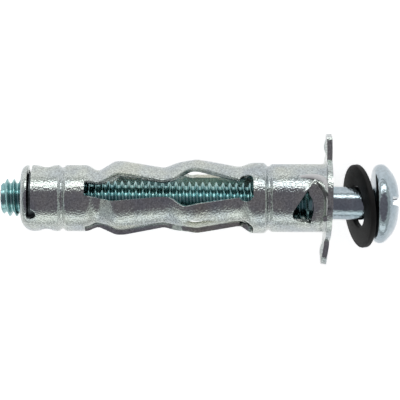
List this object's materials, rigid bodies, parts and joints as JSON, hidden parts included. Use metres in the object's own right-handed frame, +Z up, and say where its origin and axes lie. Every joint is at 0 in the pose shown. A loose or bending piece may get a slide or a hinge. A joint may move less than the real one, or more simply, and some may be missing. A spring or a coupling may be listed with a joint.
{
  "type": "hollow wall anchor",
  "caption": "Folded sheet metal sleeve with four pre-bent legs, a flange with two ears, a captive nut, a pan head screw and a loose washer.",
  "frame": {"origin": "on the sleeve's axis, in the back face of the flange, where the flange bears on the board", "axes": "+X along the sleeve's axis from its tail towards the screw's head, +Z up as the anchor lies, +Y along the flange's ears"},
  "size_m": [0.0412, 0.0138, 0.009],
  "materials": {
    "sleeve_zinc": "bright zinc plated sheet steel",
    "nut_zinc": "bright zinc plated steel",
    "screw_zinc": "blue passivated zinc plated steel",
    "washer_black": "matt black coated steel"
  },
  "bodies": {
    "sleeve": {"expansion_sleeve": "sleeve_zinc", "captive_nut": "nut_zinc"},
    "washer": {"washer": "washer_black"},
    "screw": {"machine_screw": "screw_zinc"}
  },
  "joints": [
    {"name": "screw_travel", "type": "slide", "parent": "sleeve", "child": "washer", "axis": [0.9998, -0.0175, 0], "range_m": [-0.0016, 0.0043]},
    {"name": "screw_turn", "type": "hinge", "parent": "washer", "child": "screw", "pos_m": [-0.02942, 0, 0], "axis": [0.9998, -0.0175, 0], "range_deg": [-830, 2220]}
  ],
  "couplings": [
    {"joint": "screw_turn", "follows": "screw_travel", "rad_per_m": 8976}
  ]
}
